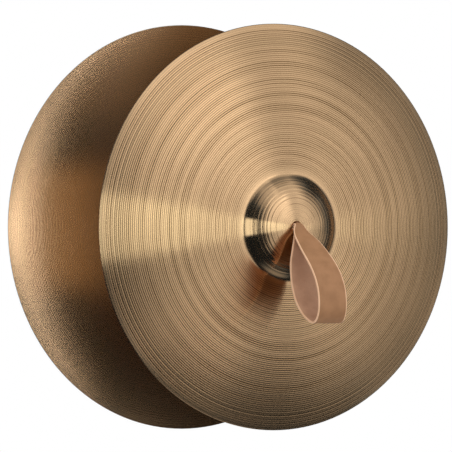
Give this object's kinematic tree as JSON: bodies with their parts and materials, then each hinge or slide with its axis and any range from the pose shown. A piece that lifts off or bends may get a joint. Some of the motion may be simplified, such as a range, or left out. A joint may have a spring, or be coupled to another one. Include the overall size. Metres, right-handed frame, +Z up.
{
  "type": "pair of hand cymbals",
  "caption": "Pair of spun bronze hand cymbals held face to face, each with a leather hand loop knotted through the hole in its bell.",
  "frame": {"origin": "midway between the two cymbals, on the axis that they share", "axes": "+Y along the shared axis from the front cymbal to the rear one, +Z up with the straps hanging down, +X to the right"},
  "size_m": [0.508, 0.51, 0.508],
  "materials": {
    "lathed_bronze": "turned on a lathe in fine rings, satin bow and brighter bell",
    "tan_leather": "smooth tan grain side, duller flesh side, pale cut edges"
  },
  "bodies": {
    "rear_cymbal": {"rear_plate": "lathed_bronze"},
    "rear_knot": {"rear_thong_upper_right": "tan_leather", "rear_thong_lower_right": "tan_leather", "rear_thong_lower_left": "tan_leather", "rear_thong_upper_left": "tan_leather"},
    "rear_loop": {"rear_hand_loop": "tan_leather"},
    "front_cymbal": {"front_plate": "lathed_bronze"},
    "front_knot": {"front_thong_upper_right": "tan_leather", "front_thong_lower_right": "tan_leather", "front_thong_lower_left": "tan_leather", "front_thong_upper_left": "tan_leather"},
    "front_loop": {"front_hand_loop": "tan_leather"}
  },
  "joints": [
    {"name": "clash_slide", "type": "slide", "parent": "rear_cymbal", "child": "front_cymbal", "axis": [0, 1, 0], "range_m": [-0.25, 0.2236]},
    {"name": "front_strap_turn", "type": "hinge", "parent": "front_cymbal", "child": "front_knot", "pos_m": [0, -0.1675, 0], "axis": [0, -1, 0], "continuous": true},
    {"name": "front_strap_swing", "type": "hinge", "parent": "front_knot", "child": "front_loop", "pos_m": [0, -0.1686, 0], "axis": [-1, 0, 0], "range_deg": [0, 110]},
    {"name": "rear_strap_turn", "type": "hinge", "parent": "rear_cymbal", "child": "rear_knot", "pos_m": [0, 0.1675, 0], "axis": [0, 1, 0], "continuous": true},
    {"name": "rear_strap_swing", "type": "hinge", "parent": "rear_knot", "child": "rear_loop", "pos_m": [0, 0.1686, 0], "axis": [1, 0, 0], "range_deg": [0, 110]}
  ]
}
